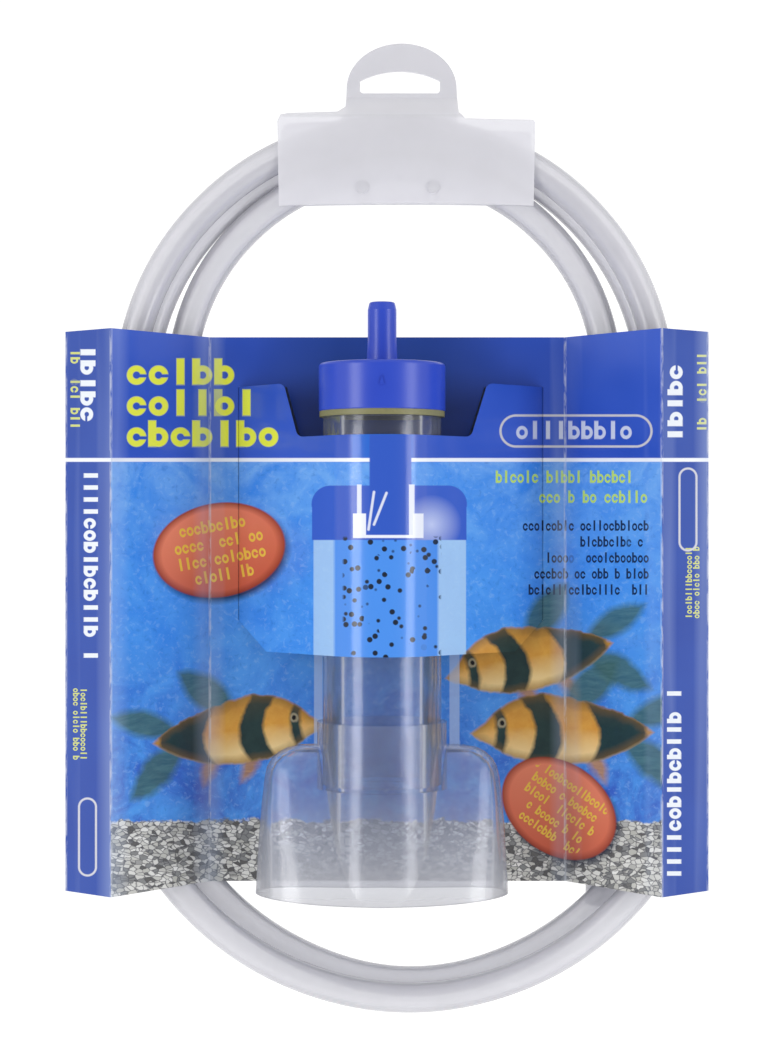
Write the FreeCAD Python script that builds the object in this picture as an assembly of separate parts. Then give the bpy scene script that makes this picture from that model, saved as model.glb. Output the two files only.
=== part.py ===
import FreeCAD, Part
import math
import os

# Gravel vacuum siphon in its hanging retail pack. Millimetres, +Z up, the front faces -Y.
# The origin is the centre of the hang slot.

V = FreeCAD.Vector
os.makedirs("parts", exist_ok=True)

# Siphon axis, vertical, in front of the coil
axis_x = -7.1
axis_y = -26.0

# Cap and hose spigot
cap_top_z = -114.2
cap_height = 18.6
cap_r = 24.6
cap_bore_r = 23.1
cap_roof = 1.8
cap_edge_r = 1.4
cap_foot_round = 0.5
spigot_tip_z = -90.4
spigot_r = 5.6
spigot_tip_r = 4.9
spigot_taper = 3.0
spigot_land = 11.0
spigot_base_r = 6.1
spigot_bore_r = 3.75
spigot_tip_round = 0.8
spigot_root_round = 1.5
socket_inner_r = 11.6
socket_outer_r = 13.0
socket_depth = 4.0
mark_width = 1.9
mark_height = 3.3
mark_raise = 0.5

# Seal ring under the cap
seal_height = 2.2
seal_r = 24.3

# Tube
tube_r = 23.0
tube_wall = 1.5
tube_top_z = -118.0
tube_bottom_z = -277.0

# Self-start valve under the cap roof
valve_r = 11.5
valve_inner_r = 10.3
valve_plate_top_z = -130.0
valve_plate = 1.4
port_r = 4.5
seat_r = 5.5
seat_raise = 0.5
hinge_dx = -8.2
hinge_z = -128.9
pin_r = 0.9
pin_hole_r = 0.96
pin_half_length = 4.3
ear_inner = 2.6
ear_outer = 4.5
ear_half_width = 1.7
flap_r = 6.2
flap_thick = 1.0
flap_gap = 0.04
flap_tab_half = 2.2
knuckle_r = 1.04
keel_half_length = 4.0
keel_half_thick = 0.4
keel_height = 0.7

# Strainer disc clipped round the valve body
strainer_r = 20.9
strainer_seat_r = 9.5
strainer_clip_thick = 1.2
strainer_thick = 1.2
strainer_top_z = -132.2
strainer_clip_top_z = -125.5
strainer_hole_r = 1.1
strainer_rings = ((15.2, 20), (18.4, 26))

# Nozzle: socket collar and oval bell
collar_r = 25.2
collar_bore_r = 23.1
collar_top_z = -253.0
stop_r = 21.6
stop_z = -277.3
stop_thick = 1.6
bell_wall = 1.6
bell_power = 2.5
bell_sections = (
    (-262.2, 32.4, 6.0),
    (-263.2, 36.9, 7.6),
    (-264.9, 40.2, 8.8),
    (-267.4, 42.9, 10.0),
    (-270.6, 44.7, 11.0),
    (-274.8, 45.6, 12.1),
    (-284.0, 46.7, 14.3),
    (-297.0, 47.8, 17.6),
    (-322.0, 49.2, 24.6),
)
mouth_z = -319.2
mouth_crown = 2.3

# Hose: a flat upright coil of a little over two turns
hose_r = 6.0
hose_wall = 1.5
top_centre = (0.0, -125.6)
inner_top_centre = (-0.8, -120.0)
bottom_centre = (3.2, -243.2)
top_step = 30.0
bottom_angles = (205.0, 237.5, 270.0, 302.5, 335.0)
side_z = -195.0

# Hanger clip
leaf_thick = 0.8
leaf_reach = 13.6
leaf_bend_round = 2.5
leaf_bend_top_z = -6.2
leaf_bend_bottom_z = -15.5
front_leaf_bottom_z = -51.0
back_leaf_bottom_z = -47.6
leaf_bottom_arch = 0.8
loop_top_z = 15.6
loop_arch = 18.0
loop_left = -21.3
loop_right = 22.6
shoulder_left = -48.4
shoulder_right = 53.2
shoulder_left_z = -14.2
shoulder_right_z = -16.6
slot_half_length = 16.0
slot_sill_z = -4.3
slot_side_z = 0.6
slot_top_z = 4.5
slot_corner_r = 1.4
post_r = 1.3
post_head_r = 2.3
post_head = 0.6
post_z = -43.9
post_xs = (-15.0, 13.0)

# Card sleeve
card = 0.5
card_top_z = -101.3
card_bottom_z = -319.9
card_corners = (
    (-128.5, 24.0),
    (-130.7, -20.0),
    (-111.2, -36.0),
    (-76.4, 5.0),
    (66.4, 5.0),
    (100.4, -36.0),
    (120.3, -20.0),
    (120.0, 24.0),
)
panel_names = (
    "card_rear_side_left",
    "card_front_side_left",
    "card_wing_left",
    "card_centre_panel",
    "card_wing_right",
    "card_front_side_right",
    "card_rear_side_right",
    "card_back_panel",
)
strap_left_x = -65.0
strap_right_x = 57.6
strap_top_z = -121.3
strap_bottom_z = -227.0
strap_gap = 0.5
strap_foot = 0.62
notch_bottom_z = -142.6
notch_top_left = -46.0
notch_top_right = 34.5
notch_low_left = -40.0
notch_low_right = 27.5
notch_round = 3.0
strap_chamfer = 13.0
window_clear = 0.3


def save(name, shape):
    """Writes one node, after checking that it holds valid solids."""
    solids = [s for s in shape.Solids if s.Volume > 0]
    if not solids or not shape.isValid():
        raise ValueError(name + " is not a valid solid")
    node = solids[0] if len(solids) == 1 else Part.makeCompound(solids)
    node.exportStep("parts/" + name + ".step")
    print(name, len(solids), "solids", round(node.Volume, 1), "mm3")


def spin(points):
    """Revolves a closed (r, z) outline about the siphon axis."""
    corners = [V(axis_x + r, axis_y, z) for r, z in points]
    face = Part.Face(Part.makePolygon(corners + [corners[0]]))
    return face.revolve(V(axis_x, axis_y, 0), V(0, 0, 1), 360)


def rod(r, z_low, z_high, x=None, y=None):
    """A vertical cylinder, on the siphon axis unless x and y say otherwise."""
    at = V(axis_x if x is None else x, axis_y if y is None else y, z_low)
    return Part.makeCylinder(r, z_high - z_low, at, V(0, 0, 1))


def box(x0, x1, y0, y1, z0, z1):
    return Part.makeBox(x1 - x0, y1 - y0, z1 - z0, V(x0, y0, z0))


def near_edges(shape, test):
    return [e for e in shape.Edges if test(e)]


# ---------------------------------------------------------------- cap
def make_cap():
    roof_z = cap_top_z - cap_roof
    bottom_z = cap_top_z - cap_height
    shell = spin([
        (spigot_bore_r, spigot_tip_z),
        (spigot_tip_r, spigot_tip_z),
        (spigot_r, spigot_tip_z - spigot_taper),
        (spigot_r, spigot_tip_z - spigot_taper - spigot_land),
        (spigot_base_r, cap_top_z),
        (cap_r, cap_top_z),
        (cap_r, bottom_z),
        (cap_bore_r, bottom_z),
        (cap_bore_r, roof_z),
        (socket_outer_r, roof_z),
        (socket_outer_r, roof_z - socket_depth),
        (socket_inner_r, roof_z - socket_depth),
        (socket_inner_r, roof_z),
        (spigot_bore_r, roof_z),
    ])

    def ring_at(r, z):
        def test(e):
            box_ = e.BoundBox
            return (abs(box_.ZMin - z) < 0.01 and abs(box_.ZMax - z) < 0.01
                    and abs(box_.XLength / 2 - r) < 0.01)
        return test

    shell = shell.makeFillet(cap_edge_r, near_edges(shell, ring_at(cap_r, cap_top_z)))
    shell = shell.makeFillet(spigot_tip_round, near_edges(shell, ring_at(spigot_tip_r, spigot_tip_z)))
    shell = shell.makeFillet(spigot_root_round, near_edges(shell, ring_at(spigot_base_r, cap_top_z)))
    shell = shell.makeFillet(cap_foot_round, near_edges(shell, ring_at(cap_r, bottom_z)))

    # Raised triangle that marks the front of the skirt
    mark_z = cap_top_z - 0.42 * cap_height
    front = axis_y - cap_r
    corners = [
        V(axis_x - 0.5 * mark_width, front - mark_raise, mark_z - 0.5 * mark_height),
        V(axis_x + 0.5 * mark_width, front - mark_raise, mark_z - 0.5 * mark_height),
        V(axis_x, front - mark_raise, mark_z + 0.5 * mark_height),
    ]
    mark = Part.Face(Part.makePolygon(corners + [corners[0]])).extrude(V(0, 1.0, 0))
    return shell.fuse(mark).removeSplitter()


def make_valve_body():
    roof_z = cap_top_z - cap_roof
    low_z = valve_plate_top_z - valve_plate
    body = spin([
        (valve_inner_r, roof_z),
        (valve_r, roof_z),
        (valve_r, low_z),
        (port_r, low_z),
        (port_r, valve_plate_top_z + seat_raise),
        (seat_r, valve_plate_top_z + seat_raise),
        (seat_r, valve_plate_top_z),
        (valve_inner_r, valve_plate_top_z),
    ])
    for side in (-1, 1):
        y0 = axis_y + side * ear_inner
        y1 = axis_y + side * ear_outer
        ear = box(axis_x + hinge_dx - ear_half_width, axis_x + hinge_dx + ear_half_width,
                  min(y0, y1), max(y0, y1), valve_plate_top_z - 0.2, hinge_z + ear_half_width)
        body = body.fuse(ear)
    hole = Part.makeCylinder(pin_hole_r, 2 * ear_outer + 8,
                             V(axis_x + hinge_dx, axis_y - ear_outer - 4, hinge_z), V(0, 1, 0))
    inside = rod(valve_inner_r + 0.5, roof_z - 30, roof_z + 5)
    return body.cut(hole.common(inside)).removeSplitter()


def make_valve_flap():
    low_z = valve_plate_top_z + seat_raise + flap_gap
    disc = rod(flap_r, low_z, low_z + flap_thick)
    tab = box(axis_x + hinge_dx, axis_x - 0.55 * flap_r, axis_y - flap_tab_half,
              axis_y + flap_tab_half, low_z, low_z + flap_thick)
    pin_at = V(axis_x + hinge_dx, axis_y - pin_half_length, hinge_z)
    pin = Part.makeCylinder(pin_r, 2 * pin_half_length, pin_at, V(0, 1, 0))
    knuckle_at = V(axis_x + hinge_dx, axis_y - flap_tab_half, hinge_z)
    knuckle = Part.makeCylinder(knuckle_r, 2 * flap_tab_half, knuckle_at, V(0, 1, 0))
    keel = box(axis_x - keel_half_length, axis_x + keel_half_length, axis_y - keel_half_thick,
               axis_y + keel_half_thick, low_z + flap_thick, low_z + flap_thick + keel_height)
    return disc.fuse([tab, pin, knuckle, keel]).removeSplitter()


def make_strainer():
    low_z = strainer_top_z - strainer_thick
    clip_r = valve_r + strainer_clip_thick
    plate_low = valve_plate_top_z - valve_plate
    disc = spin([
        (valve_r, strainer_clip_top_z),
        (clip_r, strainer_clip_top_z),
        (clip_r, strainer_top_z),
        (strainer_r, strainer_top_z),
        (strainer_r, low_z),
        (strainer_seat_r, low_z),
        (strainer_seat_r, plate_low),
        (valve_r, plate_low),
    ])
    holes = []
    for ring_r, count in strainer_rings:
        for i in range(count):
            turn = 2 * math.pi * i / count
            x = axis_x + ring_r * math.cos(turn)
            y = axis_y + ring_r * math.sin(turn)
            holes.append(rod(strainer_hole_r, low_z - 1, strainer_top_z + 1, x, y))
    return disc.cut(Part.makeCompound(holes))


# ---------------------------------------------------------------- nozzle
def oval(z, half_width, half_depth):
    """A closed superellipse wire about the siphon axis."""
    points = []
    count = 32
    for i in range(count):
        turn = 2 * math.pi * i / count
        c = math.cos(turn)
        s = math.sin(turn)
        x = half_width * math.copysign(abs(c) ** (2 / bell_power), c)
        y = half_depth * math.copysign(abs(s) ** (2 / bell_power), s)
        points.append(V(axis_x + x, axis_y + y, z))
    curve = Part.BSplineCurve()
    curve.interpolate(points, PeriodicFlag=True)
    return Part.Wire(curve.toShape())


def bell(inset, lowest):
    """The bell as a solid, inset by the wall to make its hollow, which runs down to lowest."""
    wires = [oval(z - inset, w - inset, d - inset) for z, w, d in bell_sections]
    if lowest:
        z, half_width, half_depth = bell_sections[-1]
        wires.append(oval(lowest, half_width - inset + 0.4, half_depth - inset + 0.6))
    return Part.makeLoft(wires, True, True)


def make_nozzle():
    far_z = -340.0
    bell_low_z = bell_sections[-1][0]
    outer = rod(collar_r, bell_low_z, collar_top_z).fuse(bell(0, None))
    # The rim is slightly crowned across its width
    half = bell_sections[-1][1]
    radius = (half * half + mouth_crown * mouth_crown) / (2 * mouth_crown)
    rim_at = V(axis_x, axis_y - 60, mouth_z - mouth_crown + radius)
    rim = Part.makeCylinder(radius, 120, rim_at, V(0, 1, 0))
    slab = box(axis_x - 55, axis_x + 55, axis_y - 50, axis_y + 50, bell_low_z - 5, -310.0)
    outer = outer.cut(slab.cut(rim))
    socket = rod(collar_bore_r, stop_z, collar_top_z + 1)
    ledge = rod(stop_r, stop_z - stop_thick - 0.1, stop_z + 1)
    throat = rod(collar_r - bell_wall, far_z, stop_z - stop_thick)
    lobes = bell(bell_wall, far_z).cut(rod(collar_r, stop_z - stop_thick, collar_top_z + 5))
    return outer.cut(lobes).cut(socket).cut(ledge).cut(throat)


# ---------------------------------------------------------------- hose
def arc_points(centre, radius_from, radius_to, y_from, y_mid, y_to, angles):
    """Corners of a control polygon round an arc, drifting in radius and in depth."""
    step = abs(angles[1] - angles[0])
    grow = 1 / math.cos(math.radians(step / 2))
    points = []
    for angle in angles:
        t = (angle - angles[0]) / (angles[-1] - angles[0])
        radius = (radius_from + (radius_to - radius_from) * t) * grow
        if t < 0.5:
            y = y_from + (y_mid - y_from) * 2 * t
        else:
            y = y_mid + (y_to - y_mid) * (2 * t - 1)
        turn = math.radians(angle)
        points.append(V(centre[0] + radius * math.cos(turn), y, centre[1] + radius * math.sin(turn)))
    return points


def hose_route():
    top_angles = [top_step * i for i in range(7)]
    route = [V(81.5, 16.6, -331.0), V(82.5, 16.4, -290.0), V(84.0, 14.0, -245.0), V(85.5, 11.0, side_z)]
    route += arc_points(inner_top_centre, 84.5, 87.5, 8.0, 0.0, 9.0, top_angles)
    route.append(V(-91.0, 9.6, side_z))
    route += arc_points(bottom_centre, 110.5, 118.0, 10.6, 11.2, 5.8, bottom_angles[:3])
    route += arc_points(bottom_centre, 118.0, 112.0, 5.6, 4.2, 5.2, bottom_angles[2:])[1:]
    route.append(V(105.0, 6.3, side_z))
    route += arc_points(top_centre, 101.5, 104.0, 6.3, 6.3, 6.5, top_angles)
    route.append(V(-107.0, 6.8, side_z))
    route += arc_points(bottom_centre, 121.0, 121.0, 2.8, -2.6, -7.8, bottom_angles[:3])
    route += arc_points(bottom_centre, 121.0, 119.5, -7.8, -8.6, -7.6, bottom_angles[2:])[1:]
    route.append(V(107.5, -6.3, side_z))
    route += arc_points(top_centre, 103.2, 108.0, -6.2, -6.2, -6.4, top_angles)
    route.append(V(-111.2, -6.6, side_z + 18))
    return route


def rounded_wire(points, share):
    """Straight runs joined by tangent arcs. The arc's tangent length is share of the shorter run."""
    edges = []
    radii = []
    start = points[0]
    for before, corner, after in zip(points, points[1:], points[2:]):
        run_in = corner.sub(before)
        run_out = after.sub(corner)
        reach = share * min(run_in.Length, run_out.Length)
        one = V(run_in).normalize()
        two = V(run_out).normalize()
        turn = one.getAngle(two)
        arc_in = corner.sub(V(one).multiply(reach))
        arc_out = corner.add(V(two).multiply(reach))
        radius = reach / math.tan(turn / 2)
        radii.append(radius)
        bisector = two.sub(one).normalize()
        middle = corner.add(bisector.multiply(radius / math.cos(turn / 2) - radius))
        if arc_in.sub(start).Length > 1e-6:
            edges.append(Part.LineSegment(start, arc_in).toShape())
        edges.append(Part.Arc(arc_in, middle, arc_out).toShape())
        start = arc_out
    edges.append(Part.LineSegment(start, points[-1]).toShape())
    length = sum(edge.Length for edge in edges)
    print("hose length", round(length, 1), "mm, bend radii", round(min(radii), 1), "to",
          round(max(radii), 1), "mm")
    return Part.Wire(edges), length


def make_hose():
    route = hose_route()
    wire, length = rounded_wire(route, 0.45)
    way = route[1].sub(route[0])
    outer = Part.Wire(Part.makeCircle(hose_r, route[0], way))
    inner = Part.Wire(Part.makeCircle(hose_r - hose_wall, route[0], way))
    solid = wire.makePipeShell([outer], True, False)
    bore = wire.makePipeShell([inner], True, False)
    hose = solid.cut(bore)
    section = math.pi * (hose_r ** 2 - (hose_r - hose_wall) ** 2)
    print("hose volume over section x length", round(hose.Volume / (section * length), 4))
    return hose


# ---------------------------------------------------------------- hanger clip
def leaf_outline(bottom_z):
    """The clip's front outline with its rounded loop and arched lower edge, as a face at y = 0."""
    mid = (loop_right + loop_left) / 2
    half = (loop_right - loop_left) / 2
    side_top = loop_top_z - loop_arch
    count = 16
    arch = []
    for i in range(count + 1):
        turn = math.pi * i / count
        arch.append(V(mid - half * math.cos(turn), 0, side_top + loop_arch * math.sin(turn)))
    curve = Part.BSplineCurve()
    curve.interpolate(arch)
    corners = [
        V(loop_right, 0, side_top),
        V(loop_right + 0.6, 0, shoulder_right_z + 3.0),
        V(loop_right + 3.0, 0, shoulder_right_z),
        V(shoulder_right - 0.8, 0, shoulder_right_z - 0.6),
        V(shoulder_right, 0, shoulder_right_z - 1.6),
        V(shoulder_right - 0.6, 0, bottom_z),
    ]
    foot_right = corners[-1]
    foot_left = V(shoulder_left + 0.6, 0, bottom_z)
    sides = [
        foot_left,
        V(shoulder_left, 0, shoulder_left_z - 3.5),
        V(shoulder_left + 1.2, 0, shoulder_left_z - 0.8),
        V(shoulder_left + 4.0, 0, shoulder_left_z),
        V(loop_left - 3.5, 0, shoulder_left_z + 0.8),
        V(loop_left - 0.4, 0, shoulder_left_z + 3.4),
        V(loop_left, 0, side_top),
    ]
    edges = [curve.toShape()]
    for chain in (corners, sides):
        for a, b in zip(chain, chain[1:]):
            edges.append(Part.LineSegment(a, b).toShape())
    crown = V(mid, 0, bottom_z + leaf_bottom_arch)
    edges.append(Part.Arc(foot_right, crown, foot_left).toShape())
    return Part.Face(Part.Wire(Part.__sortEdges__(edges)))


def slot_cutter():
    """The hang slot: flat below, arched above."""
    side = slot_half_length
    round_r = slot_corner_r
    sill_z = slot_sill_z
    bulge = round_r * (1 - math.sqrt(0.5))
    left = V(-side, 0, slot_side_z)
    right = V(side, 0, slot_side_z)
    low_left = V(-side, 0, sill_z + round_r)
    low_right = V(side, 0, sill_z + round_r)
    sill_left = V(-side + round_r, 0, sill_z)
    sill_right = V(side - round_r, 0, sill_z)
    edges = [
        Part.Arc(left, V(0, 0, slot_top_z), right).toShape(),
        Part.LineSegment(right, low_right).toShape(),
        Part.Arc(low_right, V(side - bulge, 0, sill_z + bulge), sill_right).toShape(),
        Part.LineSegment(sill_right, sill_left).toShape(),
        Part.Arc(sill_left, V(-side + bulge, 0, sill_z + bulge), low_left).toShape(),
        Part.LineSegment(low_left, left).toShape(),
    ]
    face = Part.Face(Part.Wire(edges))
    return face.extrude(V(0, 40, 0)).translated(V(0, -20, 0))


def make_leaf(side):
    """One leaf of the clip: side is -1 for the front and 1 for the back."""
    t = leaf_thick
    bottom_z = front_leaf_bottom_z if side < 0 else back_leaf_bottom_z
    profile = [
        (0.0, loop_top_z + 2),
        (t, loop_top_z + 2),
        (t, leaf_bend_top_z),
        (leaf_reach, leaf_bend_bottom_z),
        (leaf_reach, bottom_z - 3),
        (leaf_reach - t, bottom_z - 3),
        (leaf_reach - t, leaf_bend_bottom_z - 0.4),
        (0.0, leaf_bend_top_z - 0.4),
    ]
    corners = [V(-60, side * y, z) for y, z in profile]
    sheet = Part.Face(Part.makePolygon(corners + [corners[0]])).extrude(V(120, 0, 0))
    bends = near_edges(sheet, lambda e: e.BoundBox.XLength > 100 and leaf_bend_bottom_z - 1
                       < e.BoundBox.ZMin < leaf_bend_top_z + 1 and abs(e.BoundBox.YMin) > 0.5)
    outer_bends = [e for e in bends if abs(abs(e.BoundBox.YMin) - leaf_reach) < 0.01]
    sheet = sheet.makeFillet(leaf_bend_round, outer_bends)
    outline = leaf_outline(bottom_z).extrude(V(0, 60, 0)).translated(V(0, -30, 0))
    leaf = sheet.common(outline).cut(slot_cutter())
    for x in post_xs:
        leaf = leaf.cut(Part.makeCylinder(post_r, 80, V(x, -40, post_z), V(0, 1, 0)))
    return leaf


def make_posts():
    posts = []
    for x in post_xs:
        stem = Part.makeCylinder(post_r, 2 * leaf_reach, V(x, -leaf_reach, post_z), V(0, 1, 0))
        front = Part.makeCylinder(post_head_r, post_head, V(x, -leaf_reach - post_head, post_z), V(0, 1, 0))
        back = Part.makeCylinder(post_head_r, post_head, V(x, leaf_reach, post_z), V(0, 1, 0))
        posts.append(stem.fuse([front, back]).removeSplitter())
    return Part.makeCompound(posts)


# ---------------------------------------------------------------- card
def mitre(corners, index, offset):
    """Where two neighbouring panel faces meet, offset from the sheet's middle."""
    count = len(corners)
    ax, ay = corners[(index - 1) % count]
    bx, by = corners[index]
    cx, cy = corners[(index + 1) % count]
    one = V(bx - ax, by - ay, 0).normalize()
    two = V(cx - bx, cy - by, 0).normalize()
    n1 = V(-one.y, one.x, 0)
    n2 = V(-two.y, two.x, 0)
    bisector = n1.add(n2).normalize()
    reach = offset / bisector.dot(n1)
    return V(bx + bisector.x * reach, by + bisector.y * reach, card_bottom_z)


def make_panels():
    panels = {}
    count = len(card_corners)
    for i, name in enumerate(panel_names):
        j = (i + 1) % count
        corners = [
            mitre(card_corners, i, card / 2),
            mitre(card_corners, j, card / 2),
            mitre(card_corners, j, -card / 2),
            mitre(card_corners, i, -card / 2),
        ]
        face = Part.Face(Part.makePolygon(corners + [corners[0]]))
        panels[name] = face.extrude(V(0, 0, card_top_z - card_bottom_z))
    # The strap is cut out of the centre panel. The piece in its notch stays there as a tab.
    window = box(strap_left_x, strap_right_x, -20, 12, strap_bottom_z, strap_top_z)
    window = window.cut(notch_cutter(window_clear)).cut(Part.makeCompound(strap_corners()))
    panels["card_centre_panel"] = panels["card_centre_panel"].cut(window)
    return panels


def notch_cutter(inset):
    """The block that cuts the notch for the cap, smaller by inset on each side."""
    corners = [
        V(notch_top_left + inset, -80, strap_top_z + 1),
        V(notch_low_left + inset, -80, notch_bottom_z + inset),
        V(notch_low_right - inset, -80, notch_bottom_z + inset),
        V(notch_top_right - inset, -80, strap_top_z + 1),
    ]
    notch = Part.Face(Part.makePolygon(corners + [corners[0]])).extrude(V(0, 100, 0))
    low_z = notch_bottom_z + inset
    low = near_edges(notch, lambda e: e.BoundBox.YLength > 70 and abs(e.BoundBox.ZMin - low_z) < 0.1)
    return notch.makeFillet(notch_round, low)


def strap_corners():
    """The blocks that take the lower corners off the strap."""
    blocks = []
    for foot_x, way in ((strap_left_x, 1), (strap_right_x, -1)):
        points = [
            V(foot_x - way * 2, -80, strap_bottom_z - 1),
            V(foot_x + way * strap_chamfer, -80, strap_bottom_z - 1),
            V(foot_x - way * 2, -80, strap_bottom_z + strap_chamfer + 1),
        ]
        blocks.append(Part.Face(Part.makePolygon(points + [points[0]])).extrude(V(0, 100, 0)))
    return blocks


def make_strap():
    """A band from the centre panel round the front of the tube, notched for the cap."""
    r_in = tube_r + strap_gap
    r_out = r_in + card
    panel_y = card_corners[3][1] + card / 2
    left = V(strap_left_x, panel_y, 0)
    right = V(strap_right_x, panel_y, 0)

    def tangent(foot, r, side):
        """The point where the line from foot touches the circle of radius r, on its front."""
        dx = axis_x - foot.x
        dy = axis_y - foot.y
        reach = math.hypot(dx, dy)
        turn = math.atan2(dy, dx) + side * math.asin(r / reach)
        run = math.sqrt(reach * reach - r * r)
        return V(foot.x + run * math.cos(turn), foot.y + run * math.sin(turn), 0)

    def line_of(r):
        a = tangent(left, r, -1)
        b = tangent(right, r, 1)
        front = V(axis_x, axis_y - r, 0)
        return a, front, b

    a_in, f_in, b_in = line_of(r_in)
    a_out, f_out, b_out = line_of(r_out)
    foot_left = V(left.x + strap_foot, left.y, 0)
    foot_right = V(right.x - strap_foot, right.y, 0)
    edges = [
        Part.LineSegment(left, a_out).toShape(),
        Part.Arc(a_out, f_out, b_out).toShape(),
        Part.LineSegment(b_out, right).toShape(),
        Part.LineSegment(right, foot_right).toShape(),
        Part.LineSegment(foot_right, b_in).toShape(),
        Part.Arc(b_in, f_in, a_in).toShape(),
        Part.LineSegment(a_in, foot_left).toShape(),
        Part.LineSegment(foot_left, left).toShape(),
    ]
    face = Part.Face(Part.Wire(edges))
    band = face.extrude(V(0, 0, strap_top_z - strap_bottom_z)).translated(V(0, 0, strap_bottom_z))
    band = band.cut(notch_cutter(0.0)).cut(Part.makeCompound(strap_corners()))
    shoulder_left_cut = shoulder_cutter(notch_top_left, notch_low_left)
    shoulder_right_cut = shoulder_cutter(notch_top_right, notch_low_right)
    return band.cut(shoulder_left_cut).cut(shoulder_right_cut)


def shoulder_cutter(top_x, low_x):
    """The block that rounds the corner where the strap's top edge meets one side of the notch."""
    outward = math.copysign(1.0, top_x - low_x)
    drop = strap_top_z + 1 - notch_bottom_z
    side = V(low_x - top_x, 0, -drop).normalize()
    corner = V(top_x + side.x / -side.z, 0, strap_top_z)
    angle = side.getAngle(V(outward, 0, 0))
    reach = notch_round / math.tan(angle / 2)
    centre = V(corner.x + outward * reach, 0, strap_top_z - notch_round)
    on_side = corner.add(V(side).multiply(reach))
    spare = V(-outward, 0, 1)
    points = [
        V(centre.x, 0, strap_top_z),
        V(centre.x, 0, strap_top_z + 1),
        corner.add(spare),
        on_side.add(V(-outward, 0, 0)),
        on_side,
        centre,
    ]
    block = Part.Face(Part.makePolygon(points + [points[0]])).extrude(V(0, 100, 0))
    core = Part.makeCylinder(notch_round, 120, V(centre.x, -10, centre.z), V(0, 1, 0))
    return block.cut(core).translated(V(0, -90, 0))


save("cap_shell", make_cap())
save("valve_body", make_valve_body())
save("valve_flap", make_valve_flap())
save("strainer_disc", make_strainer())

cap_bottom_z = cap_top_z - cap_height
save("cap_seal_ring", rod(seal_r, cap_bottom_z - seal_height, cap_bottom_z).cut(
    rod(tube_r, cap_bottom_z - seal_height - 1, cap_bottom_z + 1)))
save("siphon_tube", rod(tube_r, tube_bottom_z, tube_top_z).cut(
    rod(tube_r - tube_wall, tube_bottom_z - 1, tube_top_z + 1)))
save("nozzle", make_nozzle())
save("hose", make_hose())

save("hanger_front_leaf", make_leaf(-1))
save("hanger_back_leaf", make_leaf(1))
save("hanger_posts", make_posts())

for panel_name, panel in make_panels().items():
    save(panel_name, panel)
save("card_strap", make_strap())
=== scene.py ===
import math

import bmesh
import bpy
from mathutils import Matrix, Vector


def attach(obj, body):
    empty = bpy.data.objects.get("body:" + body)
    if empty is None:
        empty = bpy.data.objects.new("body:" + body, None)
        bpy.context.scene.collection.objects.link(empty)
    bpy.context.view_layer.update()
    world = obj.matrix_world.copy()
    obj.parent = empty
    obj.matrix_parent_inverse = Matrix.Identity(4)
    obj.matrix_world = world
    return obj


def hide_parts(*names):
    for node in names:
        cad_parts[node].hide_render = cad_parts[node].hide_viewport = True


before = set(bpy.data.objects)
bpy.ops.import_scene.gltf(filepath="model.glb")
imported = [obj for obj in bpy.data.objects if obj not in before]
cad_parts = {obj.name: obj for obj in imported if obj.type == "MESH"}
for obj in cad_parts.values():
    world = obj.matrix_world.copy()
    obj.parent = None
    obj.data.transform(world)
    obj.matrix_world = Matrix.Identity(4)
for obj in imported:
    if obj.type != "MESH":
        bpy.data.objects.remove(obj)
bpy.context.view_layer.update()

MM = 0.001

# The card is printed as it looks from arm's length: print positions are millimetres across and
# up from the middle of the pack's front, on the plane of the hanger.
print_distance = 900.0
print_middle = (-4.8, -179.6)

# Where the card is folded, across the pack
folds_left = (-130.7, -111.2, -76.4)
folds_right = (66.4, 100.4, 120.3)

# The pale rule that runs round the card under its heading
rule_v = (28.1, 29.6)
rule_white = (0.88, 0.90, 0.94)
title_yellow = (0.80, 0.84, 0.06)
print_roughness = 0.2
board_roughness = 0.7


def mm(value):
    return value * MM


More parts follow.
